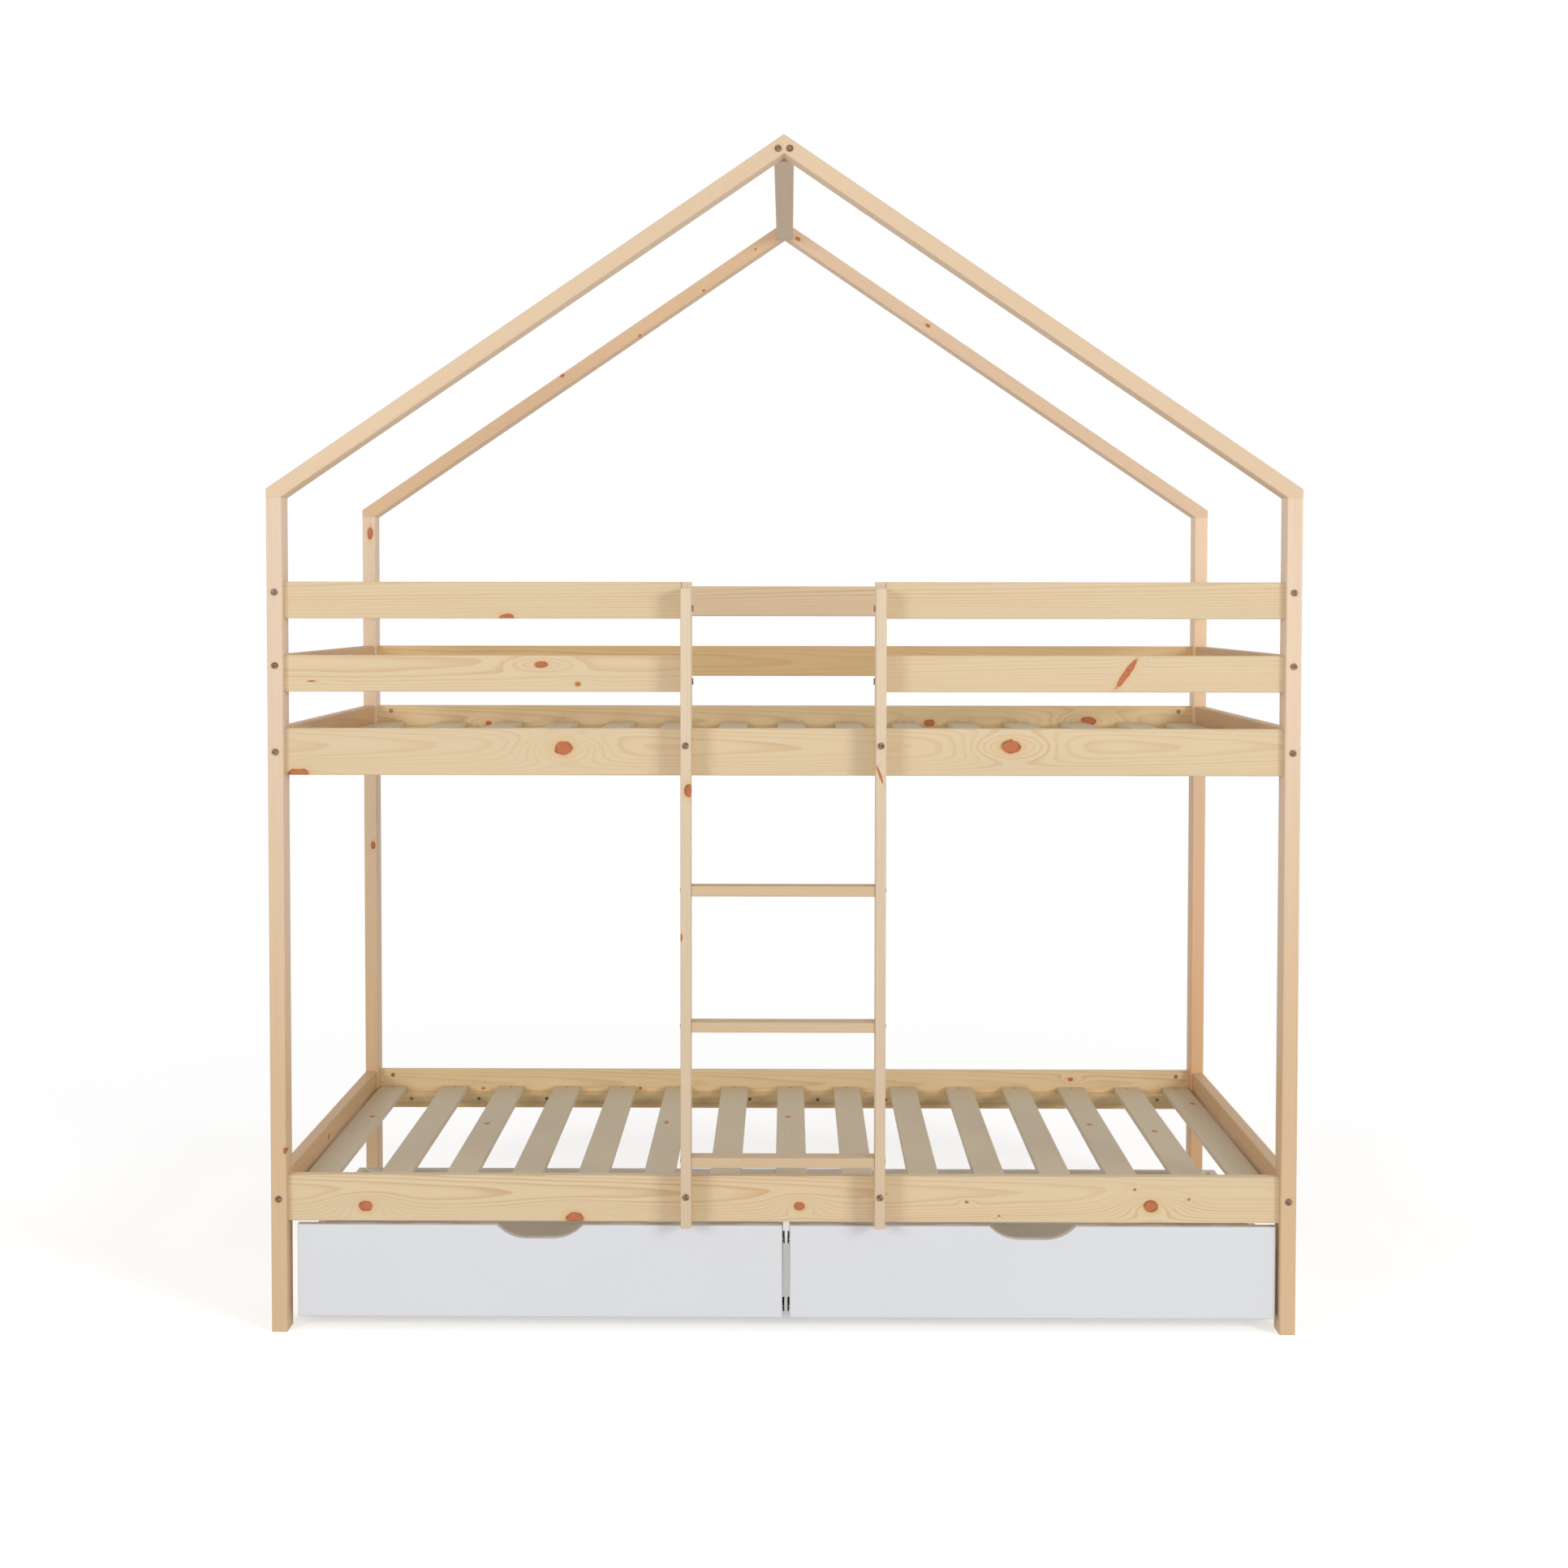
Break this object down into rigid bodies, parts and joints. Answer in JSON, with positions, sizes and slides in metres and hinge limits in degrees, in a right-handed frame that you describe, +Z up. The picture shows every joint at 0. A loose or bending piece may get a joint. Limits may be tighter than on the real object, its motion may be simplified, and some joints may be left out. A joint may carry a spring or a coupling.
{
  "type": "house bunk bed",
  "caption": "Pine bunk bed with a house-shaped roof frame, slatted beds, guard rails, a fixed ladder and white drawers on castors below.",
  "frame": {"origin": "on the floor, under the middle of the whole outline, ladder and bolt heads included", "axes": "+X along the bed to the right as seen from the ladder side, +Y from the ladder side to the back, +Z up"},
  "size_m": [1.975, 1.018, 2.29],
  "materials": {
    "pine_frame": "planed pine, clear matt lacquer",
    "pine_board": "planed pine, clear matt lacquer",
    "pine_ladder": "planed pine, clear matt lacquer",
    "pine_slat": "planed pine, untreated",
    "pine_cleat": "planed pine, untreated",
    "drawer_white": "solid wood, white satin paint",
    "drawer_panel": "thin white fibreboard",
    "castor_black": "moulded black plastic",
    "castor_wheel": "moulded dark plastic tread",
    "axle_steel": "plain drawn steel",
    "bolt_bronze": "dark bronze coloured zinc plating",
    "nut_zinc": "bright zinc plating",
    "screw_zinc": "yellow zinc plating",
    "dowel_beech": "plain beech"
  },
  "bodies": {
    "bed_frame": {"post_front_left": "pine_frame", "post_front_right": "pine_frame", "post_rear_left": "pine_frame", "post_rear_right": "pine_frame", "rafter_front_left": "pine_frame", "rafter_front_right": "pine_frame", "rafter_rear_left": "pine_frame", "rafter_rear_right": "pine_frame", "ridge_beam": "pine_frame", "guard_front_left_mid": "pine_board", "guard_front_left_top": "pine_board", "guard_front_right_mid": "pine_board", "guard_front_right_top": "pine_board", "guard_rear_mid": "pine_board", "guard_rear_top": "pine_board", "guard_end_left_mid": "pine_board", "guard_end_left_top": "pine_board", "guard_end_right_mid": "pine_board", "guard_end_right_top": "pine_board", "guard_upright_left": "pine_ladder", "guard_upright_right": "pine_ladder", "upper_rail_front": "pine_board", "upper_rail_rear": "pine_board", "upper_end_left": "pine_board", "upper_end_right": "pine_board", "upper_cleats": "pine_cleat", "upper_slats": "pine_slat", "lower_rail_front": "pine_board", "lower_rail_rear": "pine_board", "lower_end_left": "pine_board", "lower_end_right": "pine_board", "lower_cleats": "pine_cleat", "lower_slats": "pine_slat", "ladder_stile_left": "pine_ladder", "ladder_stile_right": "pine_ladder", "ladder_rungs": "pine_ladder", "frame_bolts": "bolt_bronze", "barrel_nuts": "nut_zinc", "dowels": "dowel_beech", "frame_screws": "screw_zinc"},
    "drawer_left": {"drawer_left_front": "drawer_white", "drawer_left_side_left": "drawer_white", "drawer_left_side_right": "drawer_white", "drawer_left_back": "drawer_white", "drawer_left_bottom": "drawer_panel", "drawer_left_castors": "castor_black", "drawer_left_axles": "axle_steel", "drawer_left_screws": "screw_zinc"},
    "left_front_wheels": {"drawer_left_wheels_front": "castor_wheel"},
    "left_rear_wheels": {"drawer_left_wheels_rear": "castor_wheel"},
    "drawer_right": {"drawer_right_front": "drawer_white", "drawer_right_side_left": "drawer_white", "drawer_right_side_right": "drawer_white", "drawer_right_back": "drawer_white", "drawer_right_bottom": "drawer_panel", "drawer_right_castors": "castor_black", "drawer_right_axles": "axle_steel", "drawer_right_screws": "screw_zinc"},
    "right_front_wheels": {"drawer_right_wheels_front": "castor_wheel"},
    "right_rear_wheels": {"drawer_right_wheels_rear": "castor_wheel"}
  },
  "joints": [
    {"name": "drawer_left_slide", "type": "slide", "parent": "bed_frame", "child": "drawer_left", "axis": [0, -1, 0], "range_m": [0, 0.6]},
    {"name": "left_front_wheel_spin", "type": "hinge", "parent": "drawer_left", "child": "left_front_wheels", "pos_m": [-0.469, -0.3555, 0.011], "axis": [1, 0, 0], "continuous": true},
    {"name": "left_rear_wheel_spin", "type": "hinge", "parent": "drawer_left", "child": "left_rear_wheels", "pos_m": [-0.469, 0.0945, 0.011], "axis": [1, 0, 0], "continuous": true},
    {"name": "drawer_right_slide", "type": "slide", "parent": "bed_frame", "child": "drawer_right", "axis": [0, -1, 0], "range_m": [0, 0.6]},
    {"name": "right_front_wheel_spin", "type": "hinge", "parent": "drawer_right", "child": "right_front_wheels", "pos_m": [0.481, -0.3555, 0.011], "axis": [1, 0, 0], "continuous": true},
    {"name": "right_rear_wheel_spin", "type": "hinge", "parent": "drawer_right", "child": "right_rear_wheels", "pos_m": [0.481, 0.0945, 0.011], "axis": [1, 0, 0], "continuous": true}
  ]
}
